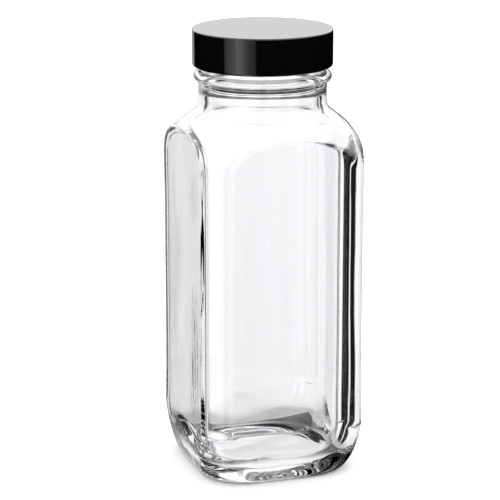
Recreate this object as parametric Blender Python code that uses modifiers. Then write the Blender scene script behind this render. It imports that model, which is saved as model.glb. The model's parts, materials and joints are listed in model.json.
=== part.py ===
"""Square glass specimen jar with a black screw cap.

The glass is a round, necked jar squeezed between four flat panels, which is why each panel
ends in an arch below the shoulder. Its mouth has a one-start right-hand thread. The cap is a
plain moulded shell with the matching thread inside, and it holds a two-layer sealing disc.

Frame: +Z up, origin on the axis of the jar, in the plane that the jar stands on. Metres.
"""

import math

import bmesh
import bpy
from mathutils import Vector

MM = 0.001
FULL_TURN = 2 * math.pi

# Body of the jar
BODY_HALF_WIDTH = 27.3 * MM
BODY_CORNER_RADIUS = 8.0 * MM
PANEL_RECESS = 0.2 * MM
PANEL_BOTTOM = 18.5 * MM
PANEL_TOP = 100.0 * MM
PANEL_STEP_HEIGHT = 1.2 * MM
HEEL_HEIGHT = 16.5 * MM
HEEL_INSET = 4.0 * MM
BASE_CORNER_RADIUS = 15.0 * MM
BASE_RING_WIDTH = 3.6 * MM
PUSH_UP_HEIGHT = 2.2 * MM
PUSH_UP_ROUNDNESS = 0.6
ARRIS_BLEND = 1.6 * MM

# Shoulder and neck
SHOULDER_MAX_RADIUS = 35.2 * MM
SHOULDER_ARC_RADIUS = 13.0 * MM
SHOULDER_ARC_HEIGHT = 101.4 * MM
SHOULDER_SLOPE_DEG = 35
NECK_RADIUS = 20.6 * MM
NECK_FILLET_RADIUS = 5.0 * MM
NECK_FILLET_HEIGHT = 121.6 * MM
BEAD_RADIUS = 22.2 * MM
BEAD_HEIGHT = 129.0 * MM
BEAD_HALF_HEIGHT = 1.85 * MM

# Finish: the threaded part of the mouth
FINISH_RADIUS = 19.7 * MM
LIP_HEIGHT = 141.6 * MM
LIP_ROUND = 0.8 * MM
BORE_RADIUS = 16.9 * MM
THREAD_PITCH = 25.4 / 6 * MM
THREAD_START_HEIGHT = 134.0 * MM
THREAD_CREST_RADIUS = 20.9 * MM
JAR_THREAD_TURNS = (0.0, 1.25)

# Inside of the glass
WALL = 2.8 * MM
INNER_CORNER_RADIUS = 6.5 * MM
INNER_FLOOR_HEIGHT = 5.2 * MM
INNER_HEEL_HEIGHT = 13.0 * MM
INNER_HEEL_INSET = 6.0 * MM
INNER_MAX_RADIUS = 32.2 * MM
INNER_NECK_RADIUS = 17.5 * MM

# Cap and liner
CAP_RADIUS = 22.6 * MM
CAP_HEIGHT = 12.0 * MM
CAP_BOTTOM = 132.3 * MM
CAP_TOP_THICKNESS = 1.55 * MM
CAP_INNER_RADIUS = 21.3 * MM
CAP_EDGE_ROUND = 0.45 * MM
CAP_THREAD_CREST_RADIUS = 20.15 * MM
CAP_THREAD_TURNS = (0.35, 1.5)
CAP_THREAD_DROP = 1.5 * MM
LINER_RADIUS = 20.9 * MM
LINER_GAP = 0.05 * MM
LINER_BACKING_THICKNESS = 0.75 * MM
LINER_FACING_THICKNESS = 0.15 * MM

RING_POINTS = 64
THREAD_STEPS_PER_TURN = 40
THREAD_EMBED = 0.5 * MM

GLASS = {"colour": (0.93, 0.95, 0.95), "roughness": 0.02, "transmission": 1.0}
BLACK_PHENOLIC = {"colour": (0.012, 0.012, 0.013), "roughness": 0.15, "transmission": 0.0}
PULPBOARD = {"colour": (0.72, 0.66, 0.55), "roughness": 0.9, "transmission": 0.0}
WHITE_FILM = {"colour": (0.86, 0.86, 0.84), "roughness": 0.35, "transmission": 0.0}


def clear_scene():
    for obj in list(bpy.data.objects):
        bpy.data.objects.remove(obj, do_unlink=True)


def new_collection(name):
    collection = bpy.data.collections.new(name)
    bpy.context.scene.collection.children.link(collection)
    return collection


def new_material(name, look):
    material = bpy.data.materials.new(name)
    material.use_nodes = True
    shader = material.node_tree.nodes["Principled BSDF"]
    shader.inputs["Base Color"].default_value = (*look["colour"], 1.0)
    shader.inputs["Roughness"].default_value = look["roughness"]
    shader.inputs["Transmission Weight"].default_value = look["transmission"]
    shader.inputs["Metallic"].default_value = 0.0
    return material


def add_object(name, mesh, collection, material=None):
    obj = bpy.data.objects.new(name, mesh)
    collection.objects.link(obj)
    if material:
        mesh.materials.append(material)
        mesh.shade_smooth()
        mesh.set_sharp_from_angle(angle=math.radians(35))
    return obj


def add_helper(name, mesh, collection):
    """A shape that a Boolean joins to a part, and that isn't a part itself."""
    helper = add_object(name, mesh, collection)
    helper.hide_render = True
    helper.display_type = "WIRE"
    return helper


def join_by_union(obj, helper):
    union = obj.modifiers.new("join " + helper.name, "BOOLEAN")
    union.operation = "UNION"
    union.object = helper


def arc(centre, radii, start_deg, end_deg, steps):
    """Points (across, height) on an ellipse's arc, both ends included."""
    points = []
    for i in range(steps + 1):
        angle = math.radians(start_deg + (end_deg - start_deg) * i / steps)
        across = centre[0] + radii[0] * math.cos(angle)
        height = centre[1] + radii[1] * math.sin(angle)
        points.append((across, height))
    return points


# ---- Sections of the glass ----------------------------------------------------------------


def square_radius(angle, half_width, corner_radius):
    """Distance from the centre to the edge of a rounded square, in the direction of angle."""
    across, along = abs(math.cos(angle)), abs(math.sin(angle))
    if across < along:
        across, along = along, across
    flat_half = half_width - corner_radius
    if along * half_width <= flat_half * across:
        return half_width / across
    to_corner_centre = flat_half * (across + along)
    return to_corner_centre + math.sqrt(to_corner_centre**2 - 2 * flat_half**2 + corner_radius**2)


def smooth_min(a, b, blend):
    """The smaller of a and b, rounded where they cross."""
    overlap = max(blend - abs(a - b), 0) / blend
    return min(a, b) - overlap**2 * blend / 4


def polar_point(radius, angle, height):
    return Vector((radius * math.cos(angle), radius * math.sin(angle), height))


def ring(height, half_width, corner_radius, round_radius):
    """One level of the glass: a rounded square cut off by a circle."""
    points = []
    for i in range(RING_POINTS):
        angle = FULL_TURN * i / RING_POINTS
        square = square_radius(angle, half_width, corner_radius)
        radius = smooth_min(square, round_radius, ARRIS_BLEND)
        points.append(polar_point(radius, angle, height))
    return points


def round_ring(height, radius):
    return [polar_point(radius, FULL_TURN * i / RING_POINTS, height) for i in range(RING_POINTS)]


def loft(rings, name):
    """A closed skin through rings of equal count, with a flat face on the first and the last."""
    bm = bmesh.new()
    levels = [[bm.verts.new(point) for point in points] for points in rings]
    for lower, upper in zip(levels, levels[1:]):
        for i in range(len(lower)):
            j = (i + 1) % len(lower)
            bm.faces.new((lower[i], lower[j], upper[j], upper[i]))
    bm.faces.new(reversed(levels[0]))
    bm.faces.new(levels[-1])
    bmesh.ops.recalc_face_normals(bm, faces=bm.faces)
    mesh = bpy.data.meshes.new(name)
    bm.to_mesh(mesh)
    bm.free()
    return mesh


# ---- Profiles -----------------------------------------------------------------------------


def shoulder_profile(max_radius, arc_radius, neck_radius, fillet_radius):
    """(radius, height) of the turned shoulder, from the body up to the foot of the neck."""
    arc_centre = (max_radius - arc_radius, SHOULDER_ARC_HEIGHT)
    fillet_centre = (neck_radius + fillet_radius, NECK_FILLET_HEIGHT)
    shoulder = arc(arc_centre, (arc_radius,) * 2, 0, 90 - SHOULDER_SLOPE_DEG, 9)
    return shoulder + arc(fillet_centre, (fillet_radius,) * 2, 270 - SHOULDER_SLOPE_DEG, 180, 5)


def base_rings():
    """Underside: a pushed-up middle inside the flat ring that the jar stands on."""
    edge = BODY_HALF_WIDTH - HEEL_INSET
    inner_edge = edge - BASE_RING_WIDTH
    rings = []
    for share, rise in ((0.35, 1.0), (0.65, 0.85), (0.88, 0.4), (1.0, 0.0)):
        half_width = inner_edge * share
        corner_radius = half_width * PUSH_UP_ROUNDNESS
        rings.append(ring(PUSH_UP_HEIGHT * rise, half_width, corner_radius, SHOULDER_MAX_RADIUS))
    return rings


def heel_rings():
    """Outside of the jar's rounded foot, from the flat ring up to the panels."""
    centre = (BODY_HALF_WIDTH - HEEL_INSET, HEEL_HEIGHT)
    rings = []
    for half_width, height in arc(centre, (HEEL_INSET, HEEL_HEIGHT), -90, 0, 9):
        share = height / HEEL_HEIGHT
        corner_radius = BASE_CORNER_RADIUS + share * (BODY_CORNER_RADIUS - BASE_CORNER_RADIUS)
        rings.append(ring(height, half_width, corner_radius, SHOULDER_MAX_RADIUS))
    return rings


def panel_rings():
    """The four flat panels, set in a little so that a label on them isn't rubbed."""
    half_width = BODY_HALF_WIDTH - PANEL_RECESS
    levels = (
        (PANEL_BOTTOM - PANEL_STEP_HEIGHT, BODY_HALF_WIDTH),
        (PANEL_BOTTOM, half_width),
        (PANEL_TOP, half_width),
        (PANEL_TOP + PANEL_STEP_HEIGHT, BODY_HALF_WIDTH),
    )
    return [ring(h, half, BODY_CORNER_RADIUS, SHOULDER_MAX_RADIUS) for h, half in levels]


def outer_shoulder_rings():
    profile = shoulder_profile(
        SHOULDER_MAX_RADIUS, SHOULDER_ARC_RADIUS, NECK_RADIUS, NECK_FILLET_RADIUS
    )
    return [ring(height, BODY_HALF_WIDTH, BODY_CORNER_RADIUS, radius) for radius, height in profile]


def finish_rings():
    """The bead, the plain wall that carries the thread, and the rounded lip."""
    bead_depth = BEAD_RADIUS - FINISH_RADIUS
    bead = arc((FINISH_RADIUS, BEAD_HEIGHT), (bead_depth, BEAD_HALF_HEIGHT), -65, 90, 7)
    outer_edge = (FINISH_RADIUS - LIP_ROUND, LIP_HEIGHT - LIP_ROUND)
    inner_edge = (BORE_RADIUS + LIP_ROUND, LIP_HEIGHT - LIP_ROUND)
    lip = arc(outer_edge, (LIP_ROUND,) * 2, 0, 90, 3) + arc(inner_edge, (LIP_ROUND,) * 2, 90, 180, 3)
    return [round_ring(height, radius) for radius, height in bead + lip]


def inner_rings():
    """The bore and the inside of the body, from the mouth down to the floor."""
    half_width = BODY_HALF_WIDTH - WALL
    shoulder = shoulder_profile(
        INNER_MAX_RADIUS, SHOULDER_ARC_RADIUS - WALL, INNER_NECK_RADIUS, NECK_FILLET_RADIUS + WALL
    )
    heel_centre = (half_width - INNER_HEEL_INSET, INNER_FLOOR_HEIGHT + INNER_HEEL_HEIGHT)
    heel = arc(heel_centre, (INNER_HEEL_INSET, INNER_HEEL_HEIGHT), 0, -90, 7)
    rings = [round_ring(BEAD_HEIGHT, INNER_NECK_RADIUS)]
    for radius, height in reversed(shoulder):
        rings.append(ring(height, half_width, INNER_CORNER_RADIUS, radius))
    for across, height in heel:
        rings.append(ring(height, across, INNER_CORNER_RADIUS, INNER_MAX_RADIUS))
    return rings


# ---- Threads ------------------------------------------------------------------------------


def thread_mesh(name, start_height, turns, root_radius, crest_radius, root_width, crest_width):
    """A right-hand helical ridge from root to crest that fades out at both ends.

    start_height is where the helix crosses turn 0, and the ridge runs from turns[0] to turns[1].
    """
    steps = round(THREAD_STEPS_PER_TURN * (turns[1] - turns[0]))
    fade_steps = THREAD_STEPS_PER_TURN // 6
    sections = []
    for i in range(steps + 1):
        turn = turns[0] + i / THREAD_STEPS_PER_TURN
        angle = FULL_TURN * turn
        height = start_height + THREAD_PITCH * turn
        share = min(1.0, (min(i, steps - i) + 1) / (fade_steps + 1))
        crest = root_radius + (crest_radius - root_radius) * share
        corners = (
            (root_radius, -root_width / 2),
            (crest, -crest_width / 2),
            (crest, crest_width / 2),
            (root_radius, root_width / 2),
        )
        sections.append([polar_point(radius, angle, height + rise) for radius, rise in corners])
    return loft(sections, name)


# ---- Parts --------------------------------------------------------------------------------


def make_jar(parts, helpers):
    rings = base_rings() + heel_rings() + panel_rings() + outer_shoulder_rings()
    rings += finish_rings() + inner_rings()
    jar = add_object("glass_jar", loft(rings, "glass_jar"), parts, new_material("glass", GLASS))
    ridge = thread_mesh(
        "jar_thread",
        THREAD_START_HEIGHT,
        JAR_THREAD_TURNS,
        root_radius=FINISH_RADIUS - THREAD_EMBED,
        crest_radius=THREAD_CREST_RADIUS,
        root_width=2.3 * MM,
        crest_width=0.9 * MM,
    )
    join_by_union(jar, add_helper("jar_thread", ridge, helpers))


def make_cap(parts, helpers):
    """A turned shell, closed at the top, with its thread joined to the inside."""
    top = CAP_BOTTOM + CAP_HEIGHT
    ceiling = top - CAP_TOP_THICKNESS
    outer_corner = (CAP_RADIUS - CAP_EDGE_ROUND, top - CAP_EDGE_ROUND)
    rim = (CAP_RADIUS - CAP_EDGE_ROUND, CAP_BOTTOM + CAP_EDGE_ROUND)
    profile = [(0.0, top)]
    profile += arc(outer_corner, (CAP_EDGE_ROUND,) * 2, 90, 0, 3)
    profile += arc(rim, (CAP_EDGE_ROUND,) * 2, 0, -90, 2)
    profile += [(CAP_INNER_RADIUS, CAP_BOTTOM), (CAP_INNER_RADIUS, ceiling), (0.0, ceiling)]
    mesh = bpy.data.meshes.new("screw_cap")
    points = [(across, 0.0, height) for across, height in profile]
    edges = [(i, i + 1) for i in range(len(points) - 1)]
    mesh.from_pydata(points, edges, [])
    cap = add_object("screw_cap", mesh, parts, new_material("black_phenolic", BLACK_PHENOLIC))
    turn = cap.modifiers.new("turn", "SCREW")
    turn.axis = "Z"
    turn.steps = RING_POINTS
    turn.render_steps = RING_POINTS
    turn.use_merge_vertices = True
    turn.merge_threshold = 0.01 * MM
    ridge = thread_mesh(
        "cap_thread",
        THREAD_START_HEIGHT - CAP_THREAD_DROP,
        CAP_THREAD_TURNS,
        root_radius=CAP_INNER_RADIUS + THREAD_EMBED,
        crest_radius=CAP_THREAD_CREST_RADIUS,
        root_width=1.9 * MM,
        crest_width=0.8 * MM,
    )
    join_by_union(cap, add_helper("cap_thread", ridge, helpers))


def make_disc(name, top, thickness, parts, material):
    bm = bmesh.new()
    bmesh.ops.create_cone(
        bm,
        cap_ends=True,
        segments=RING_POINTS,
        radius1=LINER_RADIUS,
        radius2=LINER_RADIUS,
        depth=thickness,
    )
    mesh = bpy.data.meshes.new(name)
    bm.to_mesh(mesh)
    bm.free()
    disc = add_object(name, mesh, parts, material)
    disc.location = (0.0, 0.0, top - thickness / 2)


def make_liner(parts):
    """The sealing disc under the cap's top: soft board above, smooth film against the glass."""
    backing_top = CAP_BOTTOM + CAP_HEIGHT - CAP_TOP_THICKNESS - LINER_GAP
    facing_top = backing_top - LINER_BACKING_THICKNESS - LINER_GAP
    board = new_material("pulpboard", PULPBOARD)
    film = new_material("white_film", WHITE_FILM)
    make_disc("liner_backing", backing_top, LINER_BACKING_THICKNESS, parts, board)
    make_disc("liner_facing", facing_top, LINER_FACING_THICKNESS, parts, film)


def main():
    clear_scene()
    parts = new_collection("specimen_jar")
    helpers = new_collection("helpers")
    make_jar(parts, helpers)
    make_cap(parts, helpers)
    make_liner(parts)


main()
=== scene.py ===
"""Looks of the square glass specimen jar: its glass, its black screw cap and its sealing disc.

Lengths are in metres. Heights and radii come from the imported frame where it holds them, and the
rest are the jar's own driving dimensions. The glass and the cap are lofts of many rings, so that
threads, bead, arched panels and thick base are real surfaces.
"""

import json
import math

import bpy
import numpy as np
from mathutils import Matrix, Vector, noise


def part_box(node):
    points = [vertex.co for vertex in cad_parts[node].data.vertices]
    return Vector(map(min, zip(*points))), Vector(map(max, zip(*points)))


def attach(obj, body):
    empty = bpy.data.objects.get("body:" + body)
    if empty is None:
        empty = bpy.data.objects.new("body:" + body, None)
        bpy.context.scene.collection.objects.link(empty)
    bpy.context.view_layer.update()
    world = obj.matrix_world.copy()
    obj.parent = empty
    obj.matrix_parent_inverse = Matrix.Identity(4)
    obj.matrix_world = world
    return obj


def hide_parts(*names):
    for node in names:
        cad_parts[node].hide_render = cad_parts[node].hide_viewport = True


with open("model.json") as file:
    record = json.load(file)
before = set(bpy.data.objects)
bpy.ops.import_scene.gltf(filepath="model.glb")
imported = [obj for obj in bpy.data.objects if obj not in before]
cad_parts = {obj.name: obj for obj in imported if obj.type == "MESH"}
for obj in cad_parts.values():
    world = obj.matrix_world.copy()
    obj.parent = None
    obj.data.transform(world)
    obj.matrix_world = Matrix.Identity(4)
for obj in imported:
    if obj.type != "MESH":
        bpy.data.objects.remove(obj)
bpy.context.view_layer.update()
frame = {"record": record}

MM = 0.001
FULL_TURN = 2 * math.pi

# Driving sizes, read from the frame
MOUNTS = {mount["name"]: mount["pos_m"] for mount in frame["record"]["mounts"]}
JAR_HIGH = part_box("glass_jar")[1]
CAP_LOW, CAP_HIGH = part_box("screw_cap")
BACKING_LOW, BACKING_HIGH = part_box("liner_backing")
FACING_LOW, FACING_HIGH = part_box("liner_facing")
BODY_HALF = JAR_HIGH.x
PANEL_HALF = MOUNTS["panel_right"][0]
LIP_Z = JAR_HIGH.z
CAP_RADIUS = CAP_HIGH.x
CAP_BOTTOM_Z = CAP_LOW.z
CAP_TOP_Z = CAP_HIGH.z

# Outside of the glass
CORNER_RADIUS = 8.0 * MM
PANEL_BOTTOM_Z = 18.5 * MM
PANEL_TOP_Z = 100.0 * MM
PANEL_MARGIN = 1.6 * MM
PANEL_RUN_IN = 14.0 * MM
PANEL_RUN_OUT = 16.0 * MM
HEEL_HEIGHT = 16.5 * MM
HEEL_INSET = 4.0 * MM
BASE_CORNER_RADIUS = 15.0 * MM
BASE_RING_WIDTH = 3.6 * MM
PUSH_UP = 2.2 * MM
PUSH_UP_LEVEL_SHARE = 0.45
ARRIS_BLEND = 1.4 * MM
SHOULDER_RADIUS = 35.2 * MM
SHOULDER_ARC = 13.0 * MM
SHOULDER_Z = 101.4 * MM
SLOPE_DEG = 35
NECK_RADIUS = 20.6 * MM
NECK_FILLET = 5.0 * MM
NECK_FILLET_Z = 121.6 * MM
BEAD_RADIUS = 22.2 * MM
BEAD_Z = 129.0 * MM
BEAD_HALF_HEIGHT = 1.85 * MM
BEAD_START_DEG = -68
FINISH_RADIUS = 19.7 * MM
LIP_ROUND = 0.8 * MM
BORE_RADIUS = 16.9 * MM

# Inside of the glass
WALL = 2.8 * MM
INNER_CORNERS = {
    "back_right": 6.0 * MM,
    "back_left": 6.0 * MM,
    "front_left": 4.8 * MM,
    "front_right": 12.0 * MM,
}
INNER_RADIUS = 32.2 * MM
INNER_NECK_RADIUS = 17.5 * MM
INNER_FLOOR_Z = 4.2 * MM
INNER_HEEL_INSET = 8.0 * MM
INNER_HEEL_HEIGHT = 13.0 * MM
INNER_FLOOR_CORNER = 13.0 * MM
INNER_BLEND = 2.0 * MM
HEEL_ARCH = 2.0 * MM
FLOOR_WAVE = 0.2 * MM
WALL_WAVE = 0.22 * MM
WALL_WAVE_LENGTH = 38 * MM
WALL_WAVE_TOP_Z = 118 * MM
WALL_WAVE_FADES = (12 * MM, 10 * MM)
DRAG_DEPTH = 0.06 * MM
DRAG_ANGLE = math.radians(207)
DRAG_SPREAD = math.radians(15)
DRAG_LOW_Z = 20 * MM
DRAG_HIGH_Z = 68 * MM
DRAG_FADES = (18 * MM, 14 * MM)
DRAG_DRIFT_LENGTH = 14 * MM
DRAG_RIPPLES = 74

# Threads: one helix for both, six turns to the inch; widths are at the root and at the crest
PITCH = 25.4 / 6 * MM
THREAD_Z = 134.0 * MM
JAR_TURNS = (0.0, 1.25)
JAR_CREST = 20.9 * MM
JAR_RIDGE_WIDTHS = (2.3 * MM, 0.6 * MM)
CAP_TURNS = (0.35, 1.5)
CAP_DROP = 1.5 * MM
CAP_CREST = 20.15 * MM
CAP_RIDGE_WIDTHS = (1.8 * MM, 0.5 * MM)

# Cap
CAP_INNER_RADIUS = 21.3 * MM
CAP_CEILING_Z = BACKING_HIGH.z + 0.05 * MM
CAP_TOP_ROUND = 0.45 * MM
CAP_FOOT_ROUND = 0.9 * MM
CAP_LEAD_IN = 0.35 * MM
CAP_INNER_ROUND = 0.4 * MM
DISC_EDGE_SHARE = 0.35

# Fineness of the lofts: points around, and heights between rings
AROUND = 256
THREAD_STEP = 0.12 * MM
EDGE_STEP = 0.2 * MM
NECK_STEP = 1.0 * MM
WALL_STEP = 2.0 * MM

# Camera
CAMERA_AZIMUTH = math.radians(-18.5)
CAMERA_DISTANCE = 723 * MM
CAMERA_HEIGHT = 260 * MM
CAMERA_SIDEWAYS = -4.0 * MM
CAMERA_PITCH = math.radians(14.64)
CAMERA_LENS = 164.9


# ---- Shapes -------------------------------------------------------------------------------

ANGLES = np.arange(AROUND) * FULL_TURN / AROUND


def square_radii(half_width, corner_radius):
    """Distance from the axis to a rounded square, in each of the directions ANGLES."""
    across = np.maximum(abs(np.cos(ANGLES)), abs(np.sin(ANGLES)))
    along = np.minimum(abs(np.cos(ANGLES)), abs(np.sin(ANGLES)))
    flat_half = half_width - corner_radius
    to_centre = flat_half * (across + along)
    under_root = to_centre**2 - 2 * flat_half**2 + corner_radius**2
    on_corner = to_centre + np.sqrt(np.maximum(under_root, 0))
    return np.where(along * half_width <= flat_half * across, half_width / across, on_corner)


def inner_square(half_width, bowl=0.0):
    """The inside's rounded square, each corner with its own radius; at bowl 1 it's the floor's."""
    quarter = AROUND // 4
    radii = np.empty(AROUND)
    for i, radius in enumerate(INNER_CORNERS.values()):
        here = slice(i * quarter, (i + 1) * quarter)
        radius += (max(radius, INNER_FLOOR_CORNER) - radius) * bowl
        radii[here] = square_radii(half_width, radius)[here]
    return radii


def smooth_min(a, b, blend):
    """The smaller of two, rounded over where they meet."""
    overlap = np.maximum(blend - abs(a - b), 0) / blend
    return np.minimum(a, b) - overlap**2 * blend / 4


def smooth_step(x):
    x = np.clip(x, 0, 1)
    return x * x * (3 - 2 * x)


def arc(centre, radii, start_deg, end_deg, steps):
    """Points (across, height) on an ellipse's arc, both ends included."""
    angles = np.radians(np.linspace(start_deg, end_deg, steps + 1))
    across = centre[0] + radii[0] * np.cos(angles)
    heights = centre[1] + radii[1] * np.sin(angles)
    return list(zip(across.tolist(), heights.tolist()))


def levels(start, end, step):
    """Heights from start to end, about step apart, without the start."""
    count = max(1, round(abs(end - start) / step))
    return [start + (end - start) * (i + 1) / count for i in range(count)]


def ring(height, radii):
    """One closed row of points; height and radii are numbers or one for each direction."""
    rows = np.empty((AROUND, 3))
    rows[:, 0] = radii * np.cos(ANGLES)
    rows[:, 1] = radii * np.sin(ANGLES)
    rows[:, 2] = height
    return rows


def circle(height, radius):
    return ring(height, np.full(AROUND, radius))


def circles(points):
    """Round rows through points (radius, height)."""
    return [circle(height, radius) for radius, height in points]


def flat(height, radius, steps):
    """Round rows of one height, from near the axis out to near the radius."""
    return [circle(height, radius * i / steps) for i in range(1, steps)]


def skin(name, rings):
    """A closed smooth mesh through rings, with a point on the axis at the first and the last."""
    rows = len(rings)
    points = np.concatenate(rings)
    first = [0.0, 0.0, float(rings[0][:, 2].mean())]
    last = [0.0, 0.0, float(rings[-1][:, 2].mean())]
    faces = []
    for row in range(rows - 1):
        low, high = row * AROUND, (row + 1) * AROUND
        for i in range(AROUND):
            j = (i + 1) % AROUND
            faces.append((low + i, low + j, high + j, high + i))
    top = (rows - 1) * AROUND
    for i in range(AROUND):
        j = (i + 1) % AROUND
        faces.append((rows * AROUND, j, i))
        faces.append((rows * AROUND + 1, top + i, top + j))
    mesh = bpy.data.meshes.new(name)
    mesh.from_pydata(points.tolist() + [first, last], [], faces)
    mesh.shade_smooth()
    return mesh


def add_piece(name, mesh, body, slot, *nodes):
    piece = bpy.data.objects.new(name, mesh)
    bpy.context.scene.collection.objects.link(piece)
    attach(piece, body)
    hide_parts(*nodes)
    return piece


def ridge(height, base_z, turns, widths, fade=0.16):
    """How far a helical ridge stands up at this height, from 0 to 1, in each direction."""
    root_width, crest_width = widths
    best = np.zeros(AROUND)
    for lap in range(math.floor(turns[0]), math.ceil(turns[1]) + 1):
        turn = ANGLES / FULL_TURN + lap
        distance = abs(height - base_z - PITCH * turn)
        rise = 1 - (distance - crest_width / 2) / ((root_width - crest_width) / 2)
        ends = np.minimum(turn - turns[0], turns[1] - turn) / fade
        best = np.maximum(best, smooth_step(rise) * smooth_step(ends))
    return best


# ---- Glass --------------------------------------------------------------------------------


def shoulder_points(max_radius, arc_radius, neck_radius, fillet_radius, steps):
    """Points (radius, height) from the shoulder's widest place up its slope into the neck."""
    centre = (max_radius - arc_radius, SHOULDER_Z)
    fillet = (neck_radius + fillet_radius, NECK_FILLET_Z)
    points = arc(centre, (arc_radius,) * 2, 0, 90 - SLOPE_DEG, steps)
    foot = arc(fillet, (fillet_radius,) * 2, 270 - SLOPE_DEG, 180, steps // 2)
    (r0, z0), (r1, z1) = points[-1], foot[0]
    slope_steps = steps // 2
    for i in range(1, slope_steps):
        t = i / slope_steps
        points.append((r0 + (r1 - r0) * t, z0 + (z1 - z0) * t))
    return points + foot


def underside_rings():
    """From the axis out: the push-up and the flat ring that the jar stands on."""
    edge = BODY_HALF - HEEL_INSET
    inner = edge - BASE_RING_WIDTH
    rings = []
    for i in range(1, 25):
        share = i / 24
        slope = (share - PUSH_UP_LEVEL_SHARE) / (1 - PUSH_UP_LEVEL_SHARE)
        rise = PUSH_UP * (1 - smooth_step(slope))
        half = inner * share
        corner = half * (0.95 - 0.4 * share)
        rings.append(ring(rise, square_radii(half, corner)))
    return rings


def heel_rings():
    centre = (BODY_HALF - HEEL_INSET, HEEL_HEIGHT)
    rings = []
    for half, height in arc(centre, (HEEL_INSET, HEEL_HEIGHT), -90, 0, 40):
        share = height / HEEL_HEIGHT
        corner = BASE_CORNER_RADIUS + share * (CORNER_RADIUS - BASE_CORNER_RADIUS)
        rings.append(ring(height, square_radii(half, corner)))
    return rings


def panel_half(height):
    """Half width of the body: the panels are set in between the heel and the shoulder."""
    up = smooth_step((height - PANEL_BOTTOM_Z + PANEL_MARGIN) / PANEL_RUN_IN)
    down = smooth_step((PANEL_TOP_Z + PANEL_MARGIN - height) / PANEL_RUN_OUT)
    return BODY_HALF - (BODY_HALF - PANEL_HALF) * up * down


def body_rings():
    heights = levels(HEEL_HEIGHT, PANEL_BOTTOM_Z, EDGE_STEP)
    heights += levels(PANEL_BOTTOM_Z, PANEL_TOP_Z, WALL_STEP)
    heights += levels(PANEL_TOP_Z, SHOULDER_Z, EDGE_STEP)
    rings = []
    for height in heights:
        square = square_radii(panel_half(height), CORNER_RADIUS)
        rings.append(ring(height, smooth_min(square, SHOULDER_RADIUS, ARRIS_BLEND)))
    return rings


def outer_shoulder_rings():
    points = shoulder_points(SHOULDER_RADIUS, SHOULDER_ARC, NECK_RADIUS, NECK_FILLET, 56)
    rings = []
    for radius, height in points[1:]:
        square = square_radii(panel_half(height), CORNER_RADIUS)
        rings.append(ring(height, smooth_min(square, radius, ARRIS_BLEND)))
    return rings


def finish_rings():
    """The bead, the wall with its thread, and the rounded lip."""
    bead_radii = (BEAD_RADIUS - FINISH_RADIUS, BEAD_HALF_HEIGHT)
    bead = arc((FINISH_RADIUS, BEAD_Z), bead_radii, BEAD_START_DEG, 90, 28)
    rings = circles(bead)
    for height in levels(bead[-1][1], LIP_Z - LIP_ROUND, THREAD_STEP):
        rise = ridge(height, THREAD_Z, JAR_TURNS, JAR_RIDGE_WIDTHS)
        rings.append(ring(height, FINISH_RADIUS + (JAR_CREST - FINISH_RADIUS) * rise))
    outer = (FINISH_RADIUS - LIP_ROUND, LIP_Z - LIP_ROUND)
    inner = (BORE_RADIUS + LIP_ROUND, LIP_Z - LIP_ROUND)
    rings += circles(arc(outer, (LIP_ROUND,) * 2, 0, 90, 10))
    return rings + circles(arc(inner, (LIP_ROUND,) * 2, 90, 180, 10))


def noise_around(radius, height, offset):
    """Smooth noise on a circle, within -1 to 1, for each direction."""
    points = [Vector((math.cos(angle) * radius, math.sin(angle) * radius, height)) for angle in ANGLES]
    return np.array([noise.noise(point + Vector(offset)) for point in points])


def inner_wave(height):
    """The slight unevenness of the glass's inside, which the mould doesn't touch."""
    return noise_around(1.6, height / WALL_WAVE_LENGTH, (3.7, 1.3, 5.1))


def floor_wave():
    """How far the floor's edge rises and sinks around the jar, in shares of FLOOR_WAVE."""
    return 1.6 * noise_around(1.9, 0, (8.1, 2.3, 4.4))


def inner_neck_rings():
    """From the lip down, the bore widens a little on its way to the shoulder."""
    top = LIP_Z - LIP_ROUND
    rings = []
    for height in levels(top, NECK_FILLET_Z, NECK_STEP):
        share = (top - height) / (top - NECK_FILLET_Z)
        radius = BORE_RADIUS + (INNER_NECK_RADIUS - BORE_RADIUS) * smooth_step(share * 1.5)
        rings.append(circle(height, radius))
    return rings


def inner_floor_rings(half, heel_top):
    """From the walls in: the heel, higher along the walls than in the corners, and the floor."""
    centre = (half - INNER_HEEL_INSET, heel_top)
    wave = FLOOR_WAVE * floor_wave()
    arch = HEEL_ARCH * np.cos(4 * ANGLES)
    rings = []
    for across, height in arc(centre, (INNER_HEEL_INSET, INNER_HEEL_HEIGHT), 0, -90, 40)[1:]:
        low = smooth_step((heel_top - height) / INNER_HEEL_HEIGHT)
        lift = wave * low + arch * low * (1 - low) * 4
        rings.append(ring(height + lift, inner_square(across, low)))
    floor = half - INNER_HEEL_INSET
    for i in range(1, 16):
        share = 1 - i / 16
        rings.append(ring(INNER_FLOOR_Z + wave * share, inner_square(floor, 1) * share))
    return rings


def inner_rings():
    half = BODY_HALF - WALL
    square = inner_square(half)
    heel_top = INNER_FLOOR_Z + INNER_HEEL_HEIGHT
    rings = inner_neck_rings()
    fillet = NECK_FILLET + WALL
    points = shoulder_points(INNER_RADIUS, SHOULDER_ARC - WALL, INNER_NECK_RADIUS, fillet, 40)
    for radius, height in reversed(points[:-1]):
        rings.append(ring(height, smooth_min(square, radius, INNER_BLEND)))
    for height in levels(SHOULDER_Z, heel_top, WALL_STEP):
        rings.append(ring(height, smooth_min(square, INNER_RADIUS, INNER_BLEND)))
    rings += inner_floor_rings(half, heel_top)
    return [wavy(row) for row in rings]


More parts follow.
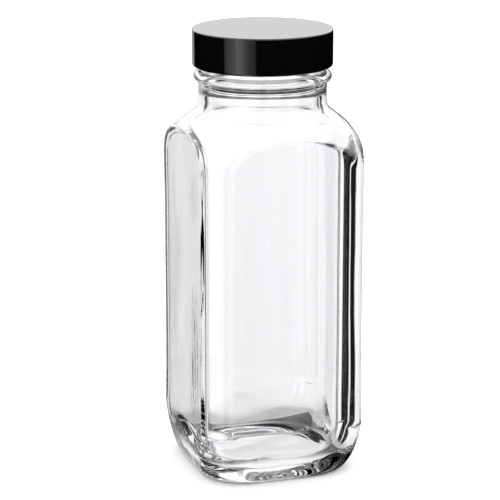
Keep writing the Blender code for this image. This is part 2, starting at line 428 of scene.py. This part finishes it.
def drag_lines(height):
    """Upright ripples where the glass dragged in the mould, low on the left wall near its front."""
    near = np.clip(1 - abs(ANGLES - DRAG_ANGLE) / DRAG_SPREAD, 0, 1)
    up = smooth_step((height - DRAG_LOW_Z) / DRAG_FADES[0])
    down = smooth_step((DRAG_HIGH_Z - height) / DRAG_FADES[1])
    drift = noise.noise(Vector((2.0, 7.0, height / DRAG_DRIFT_LENGTH))) * 0.05
    ripples = np.sin((ANGLES + drift) * DRAG_RIPPLES)
    return DRAG_DEPTH * up * down * smooth_step(near * 1.6) * ripples


def wavy(row):
    """The ring pushed in and out by the unevenness, which fades out in the neck and floor."""
    height = float(row[:, 2].mean())
    low = smooth_step((height - INNER_FLOOR_Z) / WALL_WAVE_FADES[0])
    fade = low * smooth_step((WALL_WAVE_TOP_Z - height) / WALL_WAVE_FADES[1])
    if fade > 0:
        radii = np.hypot(row[:, 0], row[:, 1])
        push = fade * (WALL_WAVE * inner_wave(height) + drag_lines(height))
        row[:, :2] *= (1 + push / radii)[:, None]
    return row


def make_glass():
    rings = underside_rings() + heel_rings() + body_rings() + outer_shoulder_rings()
    rings += finish_rings() + inner_rings()
    glass = add_piece("jar_glass", skin("jar_glass", rings), "jar", "glass", "glass_jar")
    glass.data.materials.append(glass_material())
    return glass


# ---- Cap and sealing disc -----------------------------------------------------------------


def rounded(radius, height, size, start_deg, end_deg, steps):
    """A quarter round of this size; radius and height are its centre's."""
    return circles(arc((radius, height), (size, size), start_deg, end_deg, steps))


def cap_thread_rings():
    """The inside wall from its lead-in up to the corner under the ceiling."""
    low, high = CAP_BOTTOM_Z + CAP_LEAD_IN, CAP_CEILING_Z - CAP_INNER_ROUND
    rings = []
    for height in levels(low, high, THREAD_STEP):
        rise = ridge(height, THREAD_Z - CAP_DROP, CAP_TURNS, CAP_RIDGE_WIDTHS)
        rings.append(ring(height, CAP_INNER_RADIUS - (CAP_INNER_RADIUS - CAP_CREST) * rise))
    return rings


def make_cap():
    """The cap's shell, from the middle of its top down the outside and up the inside."""
    top, foot, lead, corner = CAP_TOP_ROUND, CAP_FOOT_ROUND, CAP_LEAD_IN, CAP_INNER_ROUND
    rings = flat(CAP_TOP_Z, CAP_RADIUS - top, 30)
    rings += rounded(CAP_RADIUS - top, CAP_TOP_Z - top, top, 90, 0, 10)
    rings += rounded(CAP_RADIUS - foot, CAP_BOTTOM_Z + foot, foot, 0, -90, 12)
    rings += rounded(CAP_INNER_RADIUS + lead, CAP_BOTTOM_Z + lead, lead, 270, 180, 6)
    rings += cap_thread_rings()
    rings += rounded(CAP_INNER_RADIUS - corner, CAP_CEILING_Z - corner, corner, 0, 90, 6)[1:]
    rings += reversed(flat(CAP_CEILING_Z, CAP_INNER_RADIUS - corner, 16))
    mesh = skin("cap_shell", rings)
    mesh.flip_normals()
    cap = add_piece("cap_shell", mesh, "cap", "cap_plastic", "screw_cap")
    cap.data.materials.append(cap_material())
    return cap


def make_disc(name, low, high, slot, node, material):
    """A thin disc with softly cut edges."""
    edge = (high.z - low.z) * DISC_EDGE_SHARE
    inside = high.x - edge
    rings = flat(low.z, inside, 12)
    rings += rounded(inside, low.z + edge, edge, -90, 0, 4)
    rings += rounded(inside, high.z - edge, edge, 0, 90, 4)
    rings += reversed(flat(high.z, inside, 12))
    disc = add_piece(name, skin(name, rings), "liner", slot, node)
    disc.data.materials.append(material)
    return disc


# ---- Materials ----------------------------------------------------------------------------


def new_material(name):
    material = bpy.data.materials.new(name)
    material.use_nodes = True
    nodes = material.node_tree.nodes
    return material, nodes, material.node_tree.links, nodes["Principled BSDF"]


def noise_node(nodes, links, scale, detail, stretch=(1, 1, 1), roughness=0.5):
    """Noise in the object's own space, stretched along its axes; scale is per metre."""
    coords = nodes.new("ShaderNodeTexCoord")
    mapping = nodes.new("ShaderNodeMapping")
    mapping.inputs["Scale"].default_value = stretch
    texture = nodes.new("ShaderNodeTexNoise")
    texture.inputs["Scale"].default_value = scale
    texture.inputs["Detail"].default_value = detail
    texture.inputs["Roughness"].default_value = roughness
    links.new(coords.outputs["Object"], mapping.inputs["Vector"])
    links.new(mapping.outputs["Vector"], texture.inputs["Vector"])
    return texture.outputs["Fac"]


def spread(nodes, links, value, low, high, out_low, out_high):
    """The value's range low..high taken to out_low..out_high."""
    node = nodes.new("ShaderNodeMapRange")
    links.new(value, node.inputs["Value"])
    limits = {"From Min": low, "From Max": high, "To Min": out_low, "To Max": out_high}
    for name, number in limits.items():
        node.inputs[name].default_value = number
    return node.outputs["Result"]


def tint(nodes, links, shader, value, dark, light, low=0.3, high=0.7):
    """Base colour between dark and light, by a value."""
    blend = nodes.new("ShaderNodeMix")
    blend.data_type = "RGBA"
    links.new(spread(nodes, links, value, low, high, 0, 1), blend.inputs["Factor"])
    blend.inputs["A"].default_value = (*dark, 1)
    blend.inputs["B"].default_value = (*light, 1)
    links.new(blend.outputs["Result"], shader.inputs["Base Color"])


def bump(nodes, links, shader, value, strength, depth):
    """Relief from a value; depth is in metres."""
    node = nodes.new("ShaderNodeBump")
    node.inputs["Strength"].default_value = strength
    node.inputs["Distance"].default_value = depth
    links.new(value, node.inputs["Height"])
    links.new(node.outputs["Normal"], shader.inputs["Normal"])


def glass_material():
    """Clear flint glass: faint cords in its tint, and the soft unevenness of a moulded skin."""
    material, nodes, links, shader = new_material("clear_glass")
    cords = noise_node(nodes, links, 90, 3, stretch=(1, 1, 0.12))
    tint(nodes, links, shader, cords, (0.958, 0.964, 0.974), (0.972, 0.974, 0.986))
    skin_noise = noise_node(nodes, links, 140, 2, stretch=(1, 1, 0.35))
    bump(nodes, links, shader, skin_noise, 0.35, 0.06 * MM)
    shader.inputs["Roughness"].default_value = 0.0
    shader.inputs["IOR"].default_value = 1.52
    shader.inputs["Transmission Weight"].default_value = 1.0
    return material


def cap_material():
    """Black phenolic: a polished side, a satin top and the finest of scuffs."""
    material, nodes, links, shader = new_material("black_phenolic")
    mottle = noise_node(nodes, links, 400, 4)
    tint(nodes, links, shader, mottle, (0.0009, 0.0009, 0.001), (0.0018, 0.0018, 0.002))
    face = nodes.new("ShaderNodeNewGeometry")
    split = nodes.new("ShaderNodeSeparateXYZ")
    links.new(face.outputs["True Normal"], split.inputs[0])
    top = spread(nodes, links, split.outputs["Z"], 0.95, 0.99, 0, 1)
    satin = noise_node(nodes, links, 1500, 5, roughness=0.7)
    grain = spread(nodes, links, satin, 0.3, 0.7, 0.2, 0.3)
    wear = noise_node(nodes, links, 60, 6, stretch=(1, 1, 5))
    scuffs = spread(nodes, links, wear, 0.45, 0.75, 0.03, 0.08)
    gloss = nodes.new("ShaderNodeMix")
    links.new(top, gloss.inputs["Factor"])
    links.new(scuffs, gloss.inputs["A"])
    links.new(grain, gloss.inputs["B"])
    links.new(gloss.outputs["Result"], shader.inputs["Roughness"])
    bump(nodes, links, shader, noise_node(nodes, links, 2200, 3), 0.12, 0.02 * MM)
    shader.inputs["IOR"].default_value = 1.5
    shader.inputs["Specular Tint"].default_value = (0.9, 0.95, 1.0, 1)
    return material


def board_material():
    """Pulpboard: short fibres in a warm grey sheet."""
    material, nodes, links, shader = new_material("pulpboard")
    fibres = noise_node(nodes, links, 900, 6, stretch=(1, 0.35, 1), roughness=0.7)
    tint(nodes, links, shader, fibres, (0.42, 0.34, 0.24), (0.64, 0.56, 0.44))
    bump(nodes, links, shader, fibres, 0.5, 0.05 * MM)
    shader.inputs["Roughness"].default_value = 0.9
    return material


def film_material():
    """White vinyl film with a faint haze."""
    material, nodes, links, shader = new_material("white_film")
    haze = noise_node(nodes, links, 300, 4)
    tint(nodes, links, shader, haze, (0.76, 0.76, 0.74), (0.84, 0.84, 0.82))
    gloss = spread(nodes, links, haze, 0.3, 0.7, 0.24, 0.38)
    links.new(gloss, shader.inputs["Roughness"])
    bump(nodes, links, shader, noise_node(nodes, links, 1200, 3), 0.15, 0.02 * MM)
    return material


# ---- Studio -------------------------------------------------------------------------------

# The floor, and the dark patch of it that shows through the glass's base, which carries painted light
# in its middle and painted shadow by its rim
FLOOR_HALF = 6.0
FLOOR_Z = -0.2 * MM
FLOOR_SHADE = 0.95
PATCH_HALF = 27 * MM
PATCH_Z = -0.15 * MM
# Painted shade: the patch under the glass is a near-black sheet
PATCH_PAINTED_SHADE = 0.1
# Painted light glows in the patch's middle and fades to painted shadow by its rim
PATCH_PAINTED_LIGHT_RADIUS = 22 * MM
PATCH_PAINTED_SHADOW_RADIUS = 29 * MM
PATCH_PAINTED_SHADOW = 0.04

# Light is given as (degrees, brightness). Azimuths are clockwise from +Y, and a brightness near 0
# is a black flag. A ramp holds 32 stops at most, so the ring of panels and flags is in two halves.
LEFT_STOPS = [
    (-180, 1), (-168, 1), (-165, 0), (-150, 0), (-147, 1), (-123, 1), (-120, 0), (-104, 0), (-101, 1),
    (-81, 1), (-78, 0), (-57, 0), (-54, 0.9), (-38, 0.8), (-35, 0.03), (-22, 0.03), (-19, 0.82), (0, 1),
]
RIGHT_STOPS = [
    (0, 1), (49, 1), (52, 0.01), (60.5, 0.01), (62, 0.9), (64.5, 0.9), (66, 0.01), (81, 0.01), (84, 1),
    (96, 1), (99, 0), (123, 0), (126, 1), (145, 1), (149, 0), (165, 0), (168, 1),
]

# Elevations: how bright the panels are, where the flags begin, and the light from above
RISE_STOPS = [
    (-90, 0.45), (-60, 0.48), (-40, 0.48), (-32, 0.52), (-28, 0.8), (-24, 0.88), (-10, 0.96), (0, 1),
    (14, 1), (20, 0.15), (45, 0.15), (53, 1),
]
FLAG_FOOT_STOPS = [(-36, 1), (-30, 0)]
DOME_STOPS = [(1, 0), (15, 1)]

# Azimuths of the strip lights that the cap's side reflects
STRIP_STOPS = [
    (-151, 0), (-149, 0.2), (-140, 0.28), (-120, 1), (-116, 0.65), (-98, 0.25), (-96, 0), (-16, 0),
    (-11, 0.28), (15, 0.28), (21, 0),
]

BACKDROP_STRENGTH = 1.3
FLOOR_LIGHT_STRENGTH = 1.75
THROUGH_STRENGTH = 1.2
DOME_STRENGTH = 3.05
STRIP_STRENGTH = 2.6


def stage_plane(name, half, height, shade):
    """A square of floor; shade is how much of the light on it the pale surface returns."""
    mesh = bpy.data.meshes.new(name)
    corners = [(-half, -half), (half, -half), (half, half), (-half, half)]
    mesh.from_pydata([(x, y, height) for x, y in corners], [], [(0, 1, 2, 3)])
    plane = bpy.data.objects.new(name, mesh)
    bpy.context.scene.collection.objects.link(plane)
    material, nodes, links, shader = new_material(name)
    mottle = noise_node(nodes, links, 220, 3)
    tint(nodes, links, shader, mottle, (0.98 * shade,) * 3, (shade,) * 3)
    shader.inputs["Roughness"].default_value = 1.0
    shader.inputs["Specular IOR Level"].default_value = 0.0
    mesh.materials.append(material)
    return plane


def paint_patch_light_and_shadow(material):
    """Painted light and shadow on the patch under the glass: its middle glows as if lit through the
    jar, and the glow fades to a painted contact shadow by the rim.
    """
    nodes, links = material.node_tree.nodes, material.node_tree.links
    shader = nodes["Principled BSDF"]
    coords = nodes.new("ShaderNodeTexCoord")
    length = nodes.new("ShaderNodeVectorMath")
    length.operation = "LENGTH"
    links.new(coords.outputs["Object"], length.inputs[0])
    radius = length.outputs["Value"]
    # Painted glow in the middle, fading to painted shadow by the rim
    painted_glow = spread(nodes, links, radius, PATCH_PAINTED_LIGHT_RADIUS, PATCH_PAINTED_SHADOW_RADIUS, 1.0, PATCH_PAINTED_SHADOW)
    links.new(painted_glow, shader.inputs["Emission Strength"])
    shader.inputs["Emission Color"].default_value = (1, 1, 1, 1)


def make_floor():
    """The floor, and in its place for rays that have come through the glass, a dark patch with painted
    light and shadow.
    """
    floor = stage_plane("floor", FLOOR_HALF, FLOOR_Z, FLOOR_SHADE)
    floor.visible_glossy = False
    floor.visible_transmission = False
    # A near-black patch that stands in for the shade under the jar, with painted light and shadow on it
    patch = stage_plane("floor_under_glass", PATCH_HALF, PATCH_Z, PATCH_PAINTED_SHADE)
    paint_patch_light_and_shadow(patch.data.materials[0])
    patch.visible_camera = False
    patch.visible_diffuse = False
    patch.visible_glossy = False
    patch.visible_shadow = False


def make_world():
    """A ring of tall white panels with black flags between them, over a pale floor.

    What shows through the glass, what surfaces reflect and what lights them are set apart, by the
    kind of ray.
    """
    world = bpy.data.worlds.new("studio")
    bpy.context.scene.world = world
    world.use_nodes = True
    nodes, links = world.node_tree.nodes, world.node_tree.links
    path = nodes.new("ShaderNodeLightPath")
    coords = nodes.new("ShaderNodeTexCoord")
    split = nodes.new("ShaderNodeSeparateXYZ")
    links.new(coords.outputs["Generated"], split.inputs[0])

    def math_node(kind, a, b=None):
        node = nodes.new("ShaderNodeMath")
        node.operation = kind
        for socket, value in zip(node.inputs, (a, b)):
            if isinstance(value, (int, float)):
                socket.default_value = value
            elif value is not None:
                links.new(value, socket)
        return node.outputs[0]

    def ramp(degrees, low, high, stops):
        """Brightness from a list of (degrees, brightness), over the degrees low..high."""
        node = nodes.new("ShaderNodeValToRGB")
        node.color_ramp.interpolation = "LINEAR"
        elements = node.color_ramp.elements
        while len(elements) > 1:
            elements.remove(elements[-1])
        for i, (angle, value) in enumerate(stops):
            place = (angle - low) / (high - low)
            element = elements[0] if i == 0 else elements.new(place)
            element.position = place
            element.color = (value, value, value, 1)
        links.new(spread(nodes, links, degrees, low, high, 0, 1), node.inputs[0])
        return node.outputs[0]

    def mix(factor, a, b):
        """a where the factor is 0, b where it's 1."""
        kept = math_node("MULTIPLY", a, math_node("SUBTRACT", 1.0, factor))
        return math_node("ADD", kept, math_node("MULTIPLY", b, factor))

    azimuth = math_node("DEGREES", math_node("ARCTAN2", split.outputs[0], split.outputs[1]))
    elevation = math_node("DEGREES", math_node("ARCSINE", split.outputs[2]))
    left, right = ramp(azimuth, -180, 0, LEFT_STOPS), ramp(azimuth, 0, 180, RIGHT_STOPS)
    panels = math_node("MULTIPLY", left, right)
    panels = math_node("MAXIMUM", panels, ramp(elevation, -90, 90, FLAG_FOOT_STOPS))
    through = math_node("MULTIPLY", panels, ramp(elevation, -90, 90, RISE_STOPS))
    through = math_node("MULTIPLY", through, THROUGH_STRENGTH)
    dome = math_node("MULTIPLY", ramp(elevation, -90, 90, DOME_STOPS), DOME_STRENGTH)
    strip = math_node("MULTIPLY", ramp(azimuth, -180, 180, STRIP_STOPS), STRIP_STRENGTH)
    glossy = math_node("MAXIMUM", dome, strip)
    value = mix(path.outputs["Is Diffuse Ray"], BACKDROP_STRENGTH, FLOOR_LIGHT_STRENGTH)
    value = mix(path.outputs["Is Glossy Ray"], value, glossy)
    value = mix(path.outputs["Is Transmission Ray"], value, through)
    links.new(value, nodes["Background"].inputs["Strength"])
    nodes["Background"].inputs["Color"].default_value = (1, 1, 1, 1)


def make_camera():
    """The camera stands in front and to the left, and looks a little down, at the photo's angle."""
    camera = bpy.data.cameras.new("camera")
    camera.lens = CAMERA_LENS
    camera.sensor_width = 36
    camera.clip_start, camera.clip_end = 0.01, 20
    obj = bpy.data.objects.new("camera", camera)
    bpy.context.scene.collection.objects.link(obj)
    yaw = -CAMERA_AZIMUTH
    right = Vector((math.cos(yaw), -math.sin(yaw), 0))
    ahead = Vector((math.sin(yaw), math.cos(yaw), 0))
    forward = ahead * math.cos(CAMERA_PITCH) - Vector((0, 0, math.sin(CAMERA_PITCH)))
    place = -ahead * CAMERA_DISTANCE + right * CAMERA_SIDEWAYS + Vector((0, 0, CAMERA_HEIGHT))
    turn = Matrix((right, right.cross(forward), -forward)).transposed().to_4x4()
    obj.matrix_world = Matrix.Translation(place) @ turn
    bpy.context.scene.camera = obj


def set_light_paths():
    """Enough bounces for glass seen through glass, and plain colours."""
    scene = bpy.context.scene
    scene.view_settings.view_transform = "Standard"
    scene.cycles.max_bounces = 32
    scene.cycles.transmission_bounces = 32
    scene.cycles.glossy_bounces = 16


make_camera()
make_world()
make_floor()
make_glass()
make_cap()
make_disc("liner_board", BACKING_LOW, BACKING_HIGH, "liner_board", "liner_backing", board_material())
make_disc("liner_film", FACING_LOW, FACING_HIGH, "liner_film", "liner_facing", film_material())
set_light_paths()
